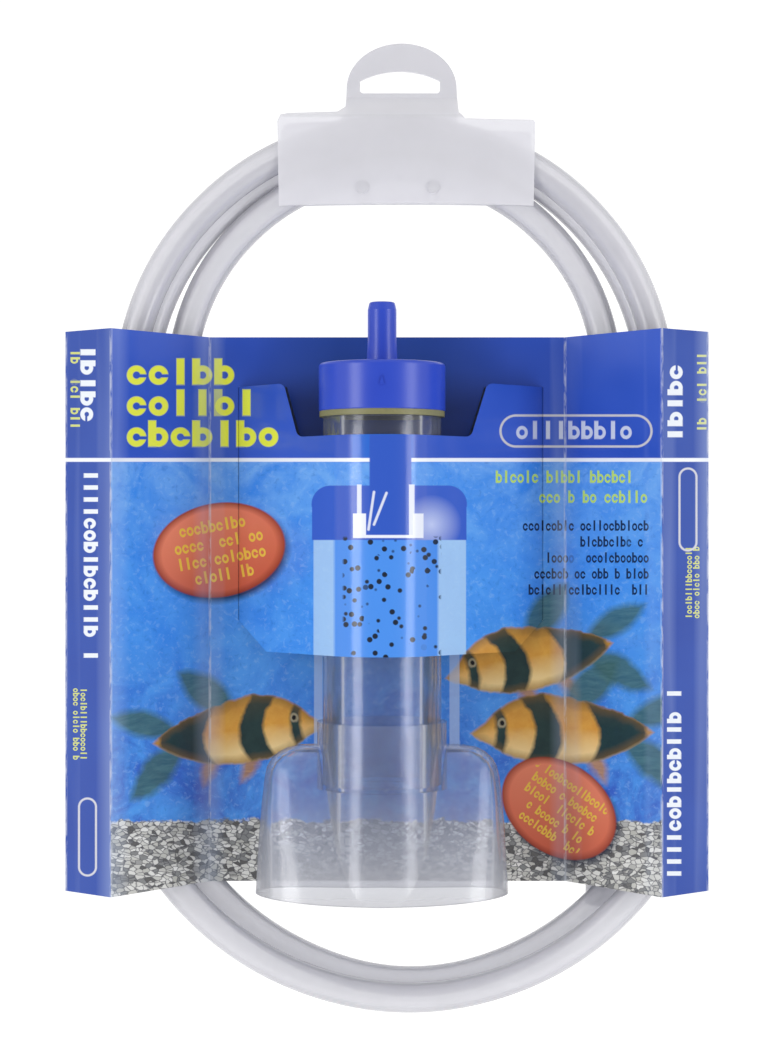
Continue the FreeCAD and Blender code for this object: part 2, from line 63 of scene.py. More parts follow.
# ---------------------------------------------------------------- shader helpers
class Shader:
    """Builds one material's node tree from short calls."""

    def __init__(self, name):
        self.material = bpy.data.materials.new(name)
        self.material.use_nodes = True
        self.tree = self.material.node_tree
        self.tree.nodes.clear()
        self.output = self.tree.nodes.new("ShaderNodeOutputMaterial")
        self.place = self.node("ShaderNodeTexCoord")
        split = self.node("ShaderNodeSeparateXYZ")
        self.tree.links.new(self.place.outputs["Object"], split.inputs[0])
        self.x, self.y, self.z = split.outputs
        split = self.node("ShaderNodeSeparateXYZ")
        self.tree.links.new(self.place.outputs["Normal"], split.inputs[0])
        self.nx, self.ny, self.nz = split.outputs

    def node(self, kind, **values):
        made = self.tree.nodes.new(kind)
        for key, value in values.items():
            setattr(made, key, value)
        return made

    def put(self, socket, value):
        if isinstance(value, bpy.types.NodeSocket):
            self.tree.links.new(value, socket)
        elif isinstance(value, tuple) and socket.type == "RGBA":
            socket.default_value = (*value[:3], 1.0)
        else:
            socket.default_value = value

    def math(self, operation, a, b=0.0, c=0.0, clamp=False):
        made = self.node("ShaderNodeMath", operation=operation, use_clamp=clamp)
        for socket, value in zip(made.inputs, (a, b, c)):
            self.put(socket, value)
        return made.outputs[0]

    def add(self, a, b):
        return self.math("ADD", a, b)

    def sub(self, a, b):
        return self.math("SUBTRACT", a, b)

    def mul(self, a, b):
        return self.math("MULTIPLY", a, b)

    def low(self, *values):
        """The smallest value: where all the masks hold."""
        kept = values[0]
        for value in values[1:]:
            kept = self.math("MINIMUM", kept, value)
        return kept

    def high(self, *values):
        kept = values[0]
        for value in values[1:]:
            kept = self.math("MAXIMUM", kept, value)
        return kept

    def vector(self, operation, a, b=(0.0, 0.0, 0.0)):
        made = self.node("ShaderNodeVectorMath", operation=operation)
        self.put(made.inputs[0], a)
        self.put(made.inputs[1], b)
        return made.outputs["Value"] if operation in ("DOT_PRODUCT", "DISTANCE", "LENGTH") \
            else made.outputs["Vector"]

    def combine(self, x, y, z=0.0):
        made = self.node("ShaderNodeCombineXYZ")
        for socket, value in zip(made.inputs, (x, y, z)):
            self.put(socket, value)
        return made.outputs[0]

    def split(self, vector):
        made = self.node("ShaderNodeSeparateXYZ")
        self.put(made.inputs[0], vector)
        return made.outputs

    def above(self, value, edge, soft):
        """1 where value is above edge, fading to 0 over soft."""
        return self.math("MULTIPLY_ADD", value, 1.0 / soft, 0.5 - edge / soft, clamp=True)

    def below(self, value, edge, soft):
        return self.math("MULTIPLY_ADD", value, -1.0 / soft, 0.5 + edge / soft, clamp=True)

    def within(self, value, low, high, soft):
        return self.low(self.above(value, low, soft), self.below(value, high, soft))

    def noise(self, scale, detail=3.0, rough=0.5, vector=None, stretch=None, distort=0.0):
        made = self.node("ShaderNodeTexNoise")
        at = self.place.outputs["Object"] if vector is None else vector
        if stretch:
            at = self.vector("MULTIPLY", at, stretch)
        self.put(made.inputs["Vector"], at)
        made.inputs["Scale"].default_value = scale
        made.inputs["Detail"].default_value = detail
        made.inputs["Roughness"].default_value = rough
        made.inputs["Distortion"].default_value = distort
        return made.outputs[0]

    def cells(self, vector, feature="F1"):
        made = self.node("ShaderNodeTexVoronoi", feature=feature)
        self.put(made.inputs["Vector"], vector)
        made.inputs["Scale"].default_value = 1.0
        return made.outputs

    def channels(self, colour):
        made = self.node("ShaderNodeSeparateColor")
        self.put(made.inputs[0], colour)
        return made.outputs

    def random(self, vector):
        """Three random numbers for each whole-numbered cell."""
        made = self.node("ShaderNodeTexWhiteNoise", noise_dimensions="3D")
        self.put(made.inputs["Vector"], vector)
        return self.channels(made.outputs["Color"])

    def mix(self, factor, a, b):
        """Mixes two colours."""
        made = self.node("ShaderNodeMix", data_type="RGBA")
        self.put(made.inputs[0], factor)
        self.put(made.inputs[6], a)
        self.put(made.inputs[7], b)
        return made.outputs[2]

    def bump(self, height, strength, distance):
        made = self.node("ShaderNodeBump")
        self.put(made.inputs["Height"], height)
        made.inputs["Strength"].default_value = strength
        made.inputs["Distance"].default_value = distance
        return made.outputs[0]

    def facing(self):
        """0 looking straight at the surface, 1 along it."""
        made = self.node("ShaderNodeLayerWeight")
        made.inputs["Blend"].default_value = 0.5
        return made.outputs["Facing"]

    def principled(self, **values):
        made = self.node("ShaderNodeBsdfPrincipled")
        for key, value in values.items():
            self.put(made.inputs[key.replace("_", " ")], value)
        return made.outputs[0]

    def blend(self, factor, a, b):
        made = self.node("ShaderNodeMixShader")
        self.put(made.inputs[0], factor)
        self.tree.links.new(a, made.inputs[1])
        self.tree.links.new(b, made.inputs[2])
        return made.outputs[0]

    def clear_wall(self, colour, tint, share, rough, gloss_rough, shine, **extra):
        """Mixes what shows through with the wall's own haze, then lays a mirror gloss on top."""
        body = self.principled(Base_Color=colour, Roughness=rough, IOR=1.5, **extra)
        clear = self.node("ShaderNodeBsdfTransparent")
        self.put(clear.inputs["Color"], tint)
        gloss = self.node("ShaderNodeBsdfAnisotropic")
        gloss.inputs["Roughness"].default_value = gloss_rough
        mirror = self.node("ShaderNodeFresnel")
        mirror.inputs["IOR"].default_value = 1.45
        through = self.blend(share, clear.outputs[0], body)
        return self.blend(self.mul(mirror.outputs[0], shine), through, gloss.outputs[0])

    def finish(self, surface):
        self.tree.links.new(surface, self.output.inputs["Surface"])
        return self.material


def dress(name, material):
    """Gives a CAD node's object its material."""
    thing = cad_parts[name]
    thing = bpy.data.objects[thing] if isinstance(thing, str) else thing
    thing.data.materials.clear()
    thing.data.materials.append(material)


# ---------------------------------------------------------------- plastics
def blue_plastic():
    s = Shader("cap_blue")
    cloud = s.noise(45.0, 2.0)
    made = s.principled(
        Base_Color=s.mix(cloud, (0.020, 0.055, 0.47), (0.028, 0.075, 0.56)),
        Roughness=s.math("MULTIPLY_ADD", cloud, 0.14, 0.24),
        IOR=1.49,
        Normal=s.bump(s.noise(1100.0, 2.0), 0.05, 0.0002),
    )
    return s.finish(made)


def olive_rubber():
    s = Shader("seal_olive")
    grain = s.noise(1200.0, 3.0, 0.6)
    made = s.principled(
        Base_Color=s.mix(grain, (0.16, 0.155, 0.07), (0.26, 0.245, 0.11)),
        Roughness=0.45,
        Normal=s.bump(grain, 0.2, 0.0002),
    )
    return s.finish(made)


def moulded(name, colour):
    s = Shader(name)
    grain = s.noise(700.0, 2.0)
    made = s.principled(
        Base_Color=s.mix(grain, colour, tuple(0.9 * c for c in colour)),
        Roughness=s.math("MULTIPLY_ADD", grain, 0.1, 0.32),
        Normal=s.bump(grain, 0.08, 0.0002),
    )
    return s.finish(made)


def see_through(name, colour, tint, haze, edge_haze, edge_power, roughness, shine, milk,
                mist=None):
    """A clear wall. Light goes straight through it, tinted. It looks denser where it's seen
    edge on, and it mirrors a little everywhere. milk is how far the haze varies in soft clouds.
    mist adds paler haze lower down: (height where it starts, height where it's full, amount,
    colour)."""
    s = Shader(name)
    facing = s.facing()
    cloud = s.noise(55.0, 3.0, 0.55)
    scuff = s.noise(420.0, 2.0, 0.6)
    share = s.math("MULTIPLY_ADD", s.math("POWER", facing, edge_power), edge_haze - haze, haze)
    if mist:
        start, full, amount, pale = mist
        down = s.math("MULTIPLY_ADD", s.z, 1 / (full - start), -start / (full - start), clamp=True)
        share = s.math("MULTIPLY_ADD", s.math("POWER", down, 1.4), amount, share)
        colour = s.mix(down, colour, pale)
    share = s.math("MULTIPLY_ADD", s.sub(cloud, 0.5), milk, share, clamp=True)
    rough = s.math("MULTIPLY_ADD", scuff, 0.08, roughness)
    return s.finish(s.clear_wall(colour, tint, share, rough, roughness, shine))


def hose_plastic():
    """Milky clear tubing. The bore shows as a paler core between denser walls."""
    s = Shader("hose_clear")
    facing = s.facing()
    cloud = s.noise(38.0, 3.0, 0.6)
    share = s.math("MULTIPLY_ADD", s.math("POWER", facing, 1.6), 0.42, 0.52)
    share = s.math("MULTIPLY_ADD", s.within(facing, 0.26, 0.44, 0.14), 0.08, share)
    share = s.math("MULTIPLY_ADD", s.sub(cloud, 0.5), 0.16, share, clamp=True)
    colour = s.mix(s.math("POWER", facing, 2.4), (0.80, 0.795, 0.85), (0.56, 0.56, 0.60))
    return s.finish(s.clear_wall(colour, (0.93, 0.93, 0.945), share, 0.25, 0.16, 0.7,
                                 Normal=s.bump(s.noise(150.0, 3.0), 0.05, 0.0005)))


# ---------------------------------------------------------------- print on the card
class Print(Shader):
    """Card print made of soft-edged shapes laid over one another. window says which part of the
    picture the panel shows: (left end, right end, lower end). One material can't hold it all."""

    def __init__(self, name, outward, window=None):
        super().__init__(name)
        self.window = window
        y_mm = self.mul(self.y, 1000.0)
        near = self.math("DIVIDE", print_distance, self.add(y_mm, print_distance))
        self.u = self.mul(self.math("MULTIPLY_ADD", self.x, 1000.0, -print_middle[0]), near)
        self.v = self.mul(self.math("MULTIPLY_ADD", self.z, 1000.0, -print_middle[1]), near)
        self.p = self.combine(self.u, self.v)
        self.outward = outward
        self.colour = None

    def shows(self, left, right, top=100.0):
        """True if the panel shows any of the picture between left and right and below top."""
        low_u, high_u, low_v = self.window
        return right > low_u and left < high_u and top > low_v

    def lay(self, mask, colour):
        self.colour = colour if self.colour is None else self.mix(mask, self.colour, colour)

    def ground(self, dark, light):
        """Faintly uneven blue with the pale rule across it."""
        self.lay(1.0, self.mix(self.noise(0.03, 2.0, 0.5, self.p), dark, light))
        self.rule()

    def local(self, origin, turn=0.0, size=(1.0, 1.0), p=None):
        """The print position in a frame at origin, turned by turn degrees and scaled."""
        made = self.node("ShaderNodeMapping", vector_type="TEXTURE")
        self.put(made.inputs["Vector"], self.p if p is None else p)
        made.inputs["Location"].default_value = (*origin, 0.0)
        made.inputs["Rotation"].default_value = (0.0, 0.0, math.radians(turn))
        made.inputs["Scale"].default_value = (*size, 1.0)
        return made.outputs[0]

    def disc(self, centre, radius, p=None):
        return self.sub(self.vector("DISTANCE", self.p if p is None else p, (*centre, 0.0)), radius)

    def lens(self, a, b, half, p=None):
        """Distance outside a leaf shape with its points at a and b."""
        ax, ay = a
        bx, by = b
        length = math.hypot(bx - ax, by - ay)
        radius = (length * length / 4 + half * half) / (2 * half)
        off = radius - half
        nx, ny = -(by - ay) / length, (bx - ax) / length
        mx, my = (ax + bx) / 2, (ay + by) / 2
        return self.high(self.disc((mx + nx * off, my + ny * off), radius, p),
                         self.disc((mx - nx * off, my - ny * off), radius, p))

    def bar(self, u0, u1, v0, v1, soft=0.3):
        return self.low(self.within(self.u, u0, u1, soft), self.within(self.v, v0, v1, soft))

    def capsule(self, a, b, radius):
        """Distance outside a bar with round ends."""
        ax, ay = a
        bx, by = b
        run = (bx - ax, by - ay, 0.0)
        length2 = run[0] ** 2 + run[1] ** 2
        from_a = self.vector("SUBTRACT", self.p, (ax, ay, 0.0))
        t = self.math("MULTIPLY", self.vector("DOT_PRODUCT", from_a, run), 1 / length2, clamp=True)
        along = self.vector("MULTIPLY", self.combine(t, t), run)
        return self.sub(self.vector("DISTANCE", from_a, along), radius)

    def words(self, origin, turn, rows, row_step, pitch, height, end, start=(0.0, 0.0, 0.0),
              seed=0.0, weight=0.36, gaps=0.14):
        """Rows of made-up round and straight letter shapes. start and end are where the rows
        begin and end: (first row, change each row, scatter). gaps is the share left blank."""
        a, b, _ = self.split(self.local(origin, turn))
        down = self.mul(b, -1.0 / row_step)
        row = self.math("FLOOR", down)
        rise = self.mul(self.sub(self.add(row, 0.86), down), row_step / height)
        along = self.mul(a, 1.0 / pitch)
        column = self.math("FLOOR", along)
        across = self.mul(self.sub(self.sub(along, column), 0.5), 2.3)
        dice = self.random(self.combine(column, row, seed))
        up = self.mul(self.sub(rise, 0.36), 1 / 0.36)
        out = self.vector("LENGTH", self.combine(across, up))
        ring = self.within(out, 1.02 - 1.5 * weight, 1.02, 0.12)
        gap = self.low(self.above(across, 0.2, 0.1), self.within(up, -0.25, 0.10, 0.1),
                       self.below(dice[1], 0.40, 0.01))
        ring = self.low(ring, self.sub(1.0, gap))
        stem_at = self.math("MULTIPLY_ADD", self.above(dice[2], 0.28, 0.01), -0.66, 0.0)
        stem = self.low(self.within(self.sub(across, stem_at), -weight, weight, 0.12),
                        self.within(rise, 0.0, 1.0, 0.08),
                        self.high(self.below(dice[2], 0.28, 0.01), self.above(dice[1], 0.66, 0.01)))
        ring = self.low(ring, self.above(dice[2], 0.28, 0.01))
        letter = self.low(self.high(ring, stem), self.above(dice[0], gaps, 0.01))
        edge = self.random(self.combine(row, seed, 3.0))
        first = self.add(self.math("MULTIPLY_ADD", row, start[1], start[0]), self.mul(edge[0], start[2]))
        last = self.add(self.math("MULTIPLY_ADD", row, end[1], end[0]), self.mul(edge[1], end[2]))
        middle = self.mul(self.add(column, 0.5), pitch)
        return self.low(letter, self.above(self.sub(middle, first), 0.0, 0.01),
                        self.above(self.sub(last, middle), 0.0, 0.01),
                        self.within(row, -0.5, rows - 0.5, 0.1))

    def fish(self, nose, tail, mirror):
        """A plain striped fish, drawn in its own frame: 0 at the nose, 1 at the root of the tail."""
        run = (tail[0] - nose[0], tail[1] - nose[1])
        length = math.hypot(*run)
        turn = math.degrees(math.atan2(run[1], run[0]))
        q = self.local(nose, turn, (length, -length if mirror else length))
        ripple = self.noise(7.0, 3.0, 0.6, q)
        ripple = self.mul(self.sub(ripple, 0.5), 0.05)
        q = self.vector("ADD", q, self.combine(ripple, ripple))
        a, b, _ = self.split(q)
        grain = self.noise(9.0, 4.0, 0.65, q)
        rays = self.noise(5.0, 2.0, 0.6, q, stretch=(1.5, 9.0, 0.0))
        dark = self.mix(grain, (0.008, 0.022, 0.026), (0.030, 0.070, 0.065))
        fin = self.mix(rays, (0.012, 0.060, 0.070), (0.10, 0.22, 0.20))
        amber = self.mix(grain, (0.60, 0.22, 0.030), (0.88, 0.50, 0.09))
        fins = self.low(
            self.lens((0.88, 0.04), (1.32, 0.22), 0.090, q),
            self.lens((0.88, -0.02), (1.26, -0.34), 0.100, q),
            self.lens((0.52, 0.10), (0.84, 0.42), 0.110, q),
        )
        self.lay(self.mul(self.below(fins, -0.01, 0.05), 0.9), fin)
        low_fins = self.low(
            self.lens((0.40, -0.10), (0.56, -0.34), 0.055, q),
            self.lens((0.68, -0.08), (0.80, -0.32), 0.055, q),
        )
        self.lay(self.mul(self.below(low_fins, -0.01, 0.05), 0.85),
                 self.mix(rays, (0.25, 0.10, 0.03), (0.70, 0.36, 0.08)))
        shape = self.low(self.lens((-0.01, -0.05), (1.06, 0.0), 0.185, q),
                         self.lens((0.04, -0.03), (0.78, 0.02), 0.200, q))
        body = self.below(shape, 0.0, 0.02)
        belly = self.within(b, -0.22, -0.07, 0.14)
        self.lay(body, self.mix(belly, amber, (0.90, 0.66, 0.30)))
        bend = self.math("MULTIPLY_ADD", self.mul(b, b), 2.2, self.math("MULTIPLY_ADD", b, 0.22, a))
        stripes = self.high(self.within(bend, 0.13, 0.20, 0.03), self.within(bend, 0.36, 0.52, 0.03),
                            self.within(bend, 0.74, 1.02, 0.03))
        self.lay(self.low(body, stripes), dark)
        self.lay(self.mul(self.low(body, self.above(shape, -0.03, 0.05)), 0.55), (0.20, 0.11, 0.03))
        back = self.within(b, 0.10, 0.20, 0.16)
        self.lay(self.mul(self.low(body, back), 0.35), (0.10, 0.07, 0.03))
        self.lay(self.below(self.disc((0.165, 0.015), 0.026, q), 0.0, 0.014), (0.46, 0.40, 0.26))
        self.lay(self.below(self.disc((0.165, 0.015), 0.016, q), 0.0, 0.010), (0.006, 0.006, 0.008))

    def badge(self, centre, half, turn, rows, row_step, pitch, seed):
        """A raised-looking oval with made-up words in it."""
        wide, tall = half
        shadow = self.vector("LENGTH", self.local((centre[0] + 1.2, centre[1] - 1.7), turn, half))
        self.lay(self.mul(self.below(shadow, 1.0, 0.14), 0.85), (0.005, 0.012, 0.04))
        q = self.local(centre, turn, half)
        out = self.vector("LENGTH", q)
        across, up, _ = self.split(q)
        light = self.above(self.sub(up, self.mul(across, 0.5)), 0.0, 2.2)
        face = self.mix(light, (0.60, 0.115, 0.060), (0.84, 0.26, 0.15))
        face = self.mix(self.above(out, 0.93, 0.14), face, (0.30, 0.045, 0.025))
        self.lay(self.below(out, 1.0, 0.03), face)
        slope = math.radians(turn)
        rise = 0.5 * rows * row_step
        corner = (centre[0] - wide * math.cos(slope) - rise * math.sin(slope),
                  centre[1] - wide * math.sin(slope) + rise * math.cos(slope))
        text = self.words(corner, turn, rows, row_step, pitch, 0.74 * row_step,
                          (1.72 * wide, 0.0, -0.3 * wide), (0.28 * wide, 0.0, 0.3 * wide), seed=seed)
        self.lay(self.low(text, self.below(out, 0.86, 0.03)), (0.84, 0.56, 0.07))

    def rule(self):
        """The pale line under the heading."""
        self.lay(self.within(self.v, *rule_v, 0.3), rule_white)

    def outline(self, a, b, radius, colour, half_width=0.45):
        """A thin line round a blank label with round ends."""
        edge = self.math("ABSOLUTE", self.capsule(a, b, radius))
        self.lay(self.below(edge, half_width, 0.35), colour)

    def fold_sheen_and_wear(self, folds, printed):
        """Painted sheen beside the folds, which are slightly rounded: a painted highlight laid into the
        print colour. Also scuffed ink along them.
        """
        gap = self.low(*[self.math("ABSOLUTE", self.sub(self.x, mm(x))) for x in folds])
        streak = self.above(self.noise(34.0, 2.0, 0.5, stretch=(1.0, 1.0, 0.10)), 0.50, 0.24)
        # Painted highlight: pale streaks beside the folds stand in for light caught on the rounded folds.
        sheen = self.low(self.below(gap, 0.0035, 0.0060), streak, printed)
        self.lay(self.mul(sheen, 0.24), (0.56, 0.68, 0.92))
        scuff = self.above(self.noise(800.0, 3.0, 0.6, stretch=(1.0, 1.0, 0.2)), 0.50, 0.2)
        worn = self.low(self.below(gap, 0.0004, 0.0006), scuff, printed)
        self.lay(self.mul(worn, 0.55), (0.76, 0.79, 0.86))

    def board(self, folds):
        """Closes the material: glossy print outside; inside, the board's own colour darkened and tinted
        blue as painted shade; plain board on the cut edges.
        """
        fibre = self.noise(600.0, 4.0, 0.6)
        # Partly painted shade: the inner face is the board's colour, darkened and tinted blue for the shade
        # inside the sleeve.
        plain = self.mix(fibre, (0.085, 0.115, 0.22), (0.125, 0.155, 0.27))
        rim = self.mix(fibre, (0.60, 0.64, 0.74), (0.76, 0.78, 0.84))
        printed = self.above(self.outward(self), 0.1, 0.02)
        edge = self.above(self.math("ABSOLUTE", self.nz), 0.7, 0.05)
        if folds:
            self.fold_sheen_and_wear(folds, printed)
        base = self.mix(printed, plain, self.colour)
        base = self.mix(edge, base, rim)
        waves = self.noise(20.0, 2.0, 0.45, stretch=(1.0, 1.0, 0.16))
        return self.finish(self.principled(
            Base_Color=base,
            Roughness=self.math("MULTIPLY_ADD", printed, print_roughness - board_roughness,
                                board_roughness),
            Specular_IOR_Level=0.35,
            Coat_Weight=self.mul(printed, 0.30),
            Coat_Roughness=0.10,
            Normal=self.bump(waves, 0.8, 0.006),
        ))


def towards_front(s):
    return s.mul(s.ny, -1.0)


def towards_side(s):
    return s.mul(s.nx, s.math("SIGN", s.x))


def towards_back(s):
    return s.add(s.ny, 0.0)


def pebbles(s):
    """Gravel: cells of three tones with dark gaps, speckled."""
    at = s.vector("MULTIPLY", s.p, (0.42, 0.66, 0.0))
    wobble = s.noise(0.5, 2.0, 0.5, s.p)
    at = s.vector("ADD", at, s.combine(s.mul(wobble, 0.9), s.mul(wobble, -0.7)))
    stone = s.cells(at)
    rim = s.cells(at, "DISTANCE_TO_EDGE")["Distance"]
    shade, hue, _ = s.channels(stone["Color"])
    pale = s.mix(hue, (0.50, 0.50, 0.46), (0.92, 0.92, 0.90))
    tone = s.mix(s.above(shade, 0.34, 0.1), (0.17, 0.18, 0.19), pale)
    tone = s.mix(s.above(shade, 0.10, 0.04), (0.015, 0.015, 0.02), tone)
    speck = s.noise(2.2, 3.0, 0.7, s.p)
    tone = s.mix(s.mul(speck, 0.5), tone, (0.42, 0.41, 0.39))
    return s.mix(s.above(rim, 0.06, 0.12), (0.09, 0.09, 0.10), tone)


def water_picture(s):
    """Mottled blue water, paler higher up, over a bank of gravel."""
    swirl = s.noise(0.055, 5.0, 0.62, s.p, distort=1.1)
    flecks = s.noise(0.42, 4.0, 0.65, s.p, distort=0.6)
    deep = s.mix(s.above(s.v, -75.0, 60.0), (0.040, 0.115, 0.56), (0.048, 0.250, 0.78))
    pale = s.mix(s.above(s.v, 10.0, 50.0), (0.085, 0.330, 0.84), (0.19, 0.42, 0.83))
    water = s.mix(s.above(swirl, 0.50, 0.30), deep, pale)
    water = s.mix(s.mul(s.above(flecks, 0.60, 0.10), 0.30), water, (0.30, 0.52, 0.86))
    water = s.mix(s.mul(s.below(flecks, 0.38, 0.10), 0.30), water, (0.02, 0.13, 0.48))
    s.lay(1.0, water)
    if s.shows(-112, 112, -105):
        bank = s.math("MULTIPLY_ADD", s.noise(0.12, 3.0, 0.7, s.p), 9.0, s.v)
        s.lay(s.below(bank, -111.0, 1.2), pebbles(s))


def fish_and_notes(s):
    """Three fish, two badges, and the small words on the right."""
    if s.shows(-112, -25, -60):
        s.fish((-27.0, -73.5), (-90.0, -84.0), True)
    if s.shows(-112, -25):
        s.badge((-67.6, -7.2), (26.6, 18.8), 10.0, 4, 6.6, 3.0, 1.0)
    if s.shows(22, 112):
        s.fish((23.6, -55.0), (86.0, -45.0), False)
    if s.shows(22, 112, -60):
        s.fish((34.4, -77.0), (102.0, -80.0), False)
        s.badge((68.4, -110.6), (24.8, 18.2), -35.0, 5, 5.2, 2.2, 2.0)
    if s.shows(22, 112):
        small = s.words((40.0, 26.5), 0.0, 2, 8.0, 2.9, 5.0, (64.5, 0.0, 0.0), (2.4, 18.0, 1.0), seed=4.0)
        s.lay(small, (0.52, 0.72, 0.14))
        note = s.words((40.0, 6.0), 0.0, 5, 6.4, 2.3, 4.2, (64.5, 0.0, 0.0), (8.0, 0.0, 26.0), seed=5.0)
        s.lay(note, (0.010, 0.02, 0.06))


def heading_band(s):
    """The dark blue band behind the heading."""
    head = s.mix(s.above(s.noise(0.02, 2.0, 0.5, s.p), 0.5, 0.4), (0.022, 0.075, 0.46),
                 (0.048, 0.115, 0.56))
    s.lay(s.above(s.v, rule_v[0] + 0.1, 0.3), head)


def heading_words(s):
    """The three-line heading on the left and the outlined label on the right."""
    if s.shows(-112, -40):
        title = s.words((-105.0, 69.6), 0.0, 3, 12.4, 8.8, 10.6, (45.0, 7.4, 0.0), seed=7.0, weight=0.42,
                        gaps=0.0)
        s.lay(title, title_yellow)
    if s.shows(40, 112):
        s.outline((51.2, 40.4), (99.2, 40.4), 6.2, (0.62, 0.60, 0.60))
        label = s.words((51.0, 45.8), 0.0, 1, 10.0, 5.2, 7.2, (46.8, 0.0, 0.0), seed=9.0, gaps=0.0)
        s.lay(label, (0.60, 0.64, 0.78))


def panel_print(name, window, folds):
    """The picture on the wings and the centre panel, with painted shade and a painted dark reflection of
    the cap in the recess behind the cap.
    """
    s = Print(name, towards_front, window)
    water_picture(s)
    fish_and_notes(s)
    heading_band(s)
    # Painted shade: the heading is darkened around the cap for the cap's shadow and its dark reflection.
    shade = s.below(s.math("ABSOLUTE", s.add(s.u, 2.4)), 34.0, 34.0)
    s.lay(s.mul(s.low(shade, s.above(s.v, 30.0, 1.0)), 0.75), (0.006, 0.040, 0.22))
    s.rule()
    if s.shows(-29, 30):
        tube_sides = s.high(s.bar(-29.6, -26.2, -86.0, -40.0), s.bar(24.6, 28.6, -86.0, -40.0))
        s.lay(s.mul(tube_sides, 0.6), (0.50, 0.62, 0.84))
    heading_words(s)
    return s.board(folds)


def strap_print(name, window):
    """The picture on the strap, with the drawing of the siphon over it."""
    s = Print(name, towards_front, window)
    water_picture(s)
    fish_and_notes(s)
    tube_drawing(s)
    heading_band(s)
    s.lay(s.bar(-14.6, 10.0, 28.0, 42.0, 1.5), (0.020, 0.130, 0.60))
    s.rule()
    s.lay(s.bar(-7.4, 9.4, -3.0, 39.0, 0.6), (0.028, 0.095, 0.52))
    valve_drawing(s)
    heading_words(s)
    return s.board(())


def tube_drawing(s):
    """The drawing of the cap and of grit in a clear tube."""
    tube = s.bar(-29.8, 31.2, -52.0, -3.0, 0.4)
    s.lay(s.mul(tube, 0.72), (0.46, 0.66, 0.86))
    s.lay(s.mul(s.bar(-21.5, 20.0, -52.0, 16.0, 1.2), 0.9), (0.035, 0.235, 0.80))
    shell = s.low(s.below(s.capsule((-23.0, 11.0), (24.0, 11.0), 7.6), 0.0, 0.4),
                  s.above(s.v, 10.0, 0.2))
    shell = s.high(shell, s.bar(-30.4, 31.4, -3.2, 11.0, 0.4))
    glow = s.below(s.vector("DISTANCE", s.p, (17.5, 3.0, 0.0)), 5.0, 14.0)
    s.lay(shell, s.mix(glow, (0.040, 0.105, 0.54), (0.60, 0.66, 0.90)))
    grit = s.cells(s.vector("MULTIPLY", s.p, (0.30, 0.30, 0.0)))
    chance = s.channels(grit["Color"])[0]
    spots = s.low(s.below(grit["Distance"], 0.33, 0.10), s.above(chance, 0.30, 0.01))
    s.lay(s.low(spots, s.bar(-18.0, 21.0, -52.0, -2.0, 1.0)), (0.008, 0.016, 0.036))


def valve_drawing(s):
    """The white valve parts in the drawing: two brackets, a sill and the open flap."""
    pale = (0.80, 0.83, 0.92)
    sill = -2.4
    for line, block in (((-12.4, -10.6), (-14.0, -8.8)), ((8.4, 10.6), (10.0, 14.2))):
        s.lay(s.mul(s.bar(*line, sill, 19.0), 0.8), pale)
        s.lay(s.bar(*block, sill, 7.4), pale)
    s.lay(s.bar(-9.0, 10.0, sill, sill + 1.2), pale)
    for a, b in (((-7.8, 1.0), (-5.6, 16.0)), ((-5.6, 3.0), (-0.6, 15.6))):
        s.lay(s.mul(s.below(s.capsule(a, b, 0.5), 0.0, 0.4), 0.85), pale)


def side_print(name, right):
    """The narrow side panels: plain blue with rows of words that run up the right one and down
    the left one."""
    s = Print(name, towards_front)
    s.ground((0.012, 0.050, 0.33), (0.024, 0.082, 0.42))
    if right:
        folds = folds_right[1:]
        turn = 90.0
        title, notes, size_word, size_note = (111.6, -139.0), (119.0, -40.0), (111.8, 36.0), (123.6, 40.0)
        label = ((120.0, -4.0), (120.0, 22.0))
    else:
        folds = folds_left[:2]
        turn = -90.0
        title, notes, size_word, size_note = (-116.0, 25.0), (-120.4, -57.0), (-117.0, 75.0), (-123.2, 73.0)
        label = ((-120.2, -134.0), (-120.2, -110.0))
    light = (0.80, 0.84, 0.90)
    gold = (0.62, 0.66, 0.20)
    s.lay(s.words(title, turn, 1, 6.6, 4.8, 6.6, (78.0, 0.0, 0.0), seed=11.0, weight=0.42), light)
    s.lay(s.words(notes, turn, 2, 3.0, 1.8, 2.6, (34.0, 0.0, 0.0), (0.0, 0.0, 6.0), seed=12.0), gold)
    s.lay(s.words(size_word, turn, 1, 7.0, 6.2, 7.0, (31.0, 0.0, 0.0), seed=13.0, weight=0.44), light)
    s.lay(s.words(size_note, turn, 1, 4.4, 2.9, 4.2, (31.0, 0.0, 0.0), seed=14.0), gold)
    s.outline(*label, 3.4, (0.62, 0.62, 0.68), 0.4)
    return s.board(folds)


def rear_side_print(name):
    s = Print(name, towards_side)
    s.ground((0.020, 0.062, 0.36), (0.024, 0.0744, 0.432))
    return s.board((folds_left[0], folds_right[2]))


def back_print(name):
    """The back: a heading, two columns of made-up words and a blank label."""
    s = Print(name, towards_back)
    # Print positions run the other way across, seen from behind
    s.u = s.mul(s.u, -1.0)
    s.p = s.combine(s.u, s.v)
    s.ground((0.024, 0.070, 0.38), (0.030, 0.085, 0.46))
    heading = s.words((-108.0, 62.0), 0.0, 1, 20.0, 10.5, 14.0, (126.0, 0.0, 0.0), seed=21.0, weight=0.42,
                      gaps=0.1)
    s.lay(heading, title_yellow)
    for left, seed in ((-108.0, 22.0), (8.0, 23.0)):
        column = s.words((left, 16.0), 0.0, 12, 8.4, 3.3, 5.2, (104.0, 0.0, -34.0), seed=seed)
        s.lay(column, (0.84, 0.87, 0.94))
    s.lay(s.bar(58.0, 110.0, -128.0, -98.0, 0.5), (0.86, 0.87, 0.90))
    return s.board((folds_left[0], folds_right[2]))


# ---------------------------------------------------------------- hose
hose_r = 6.0
top_centre = (0.0, -125.6)
inner_top_centre = (-0.8, -120.0)
bottom_centre = (3.2, -243.2)
top_step = 30.0
bottom_angles = (205.0, 237.5, 270.0, 302.5, 335.0)
side_z = -195.0


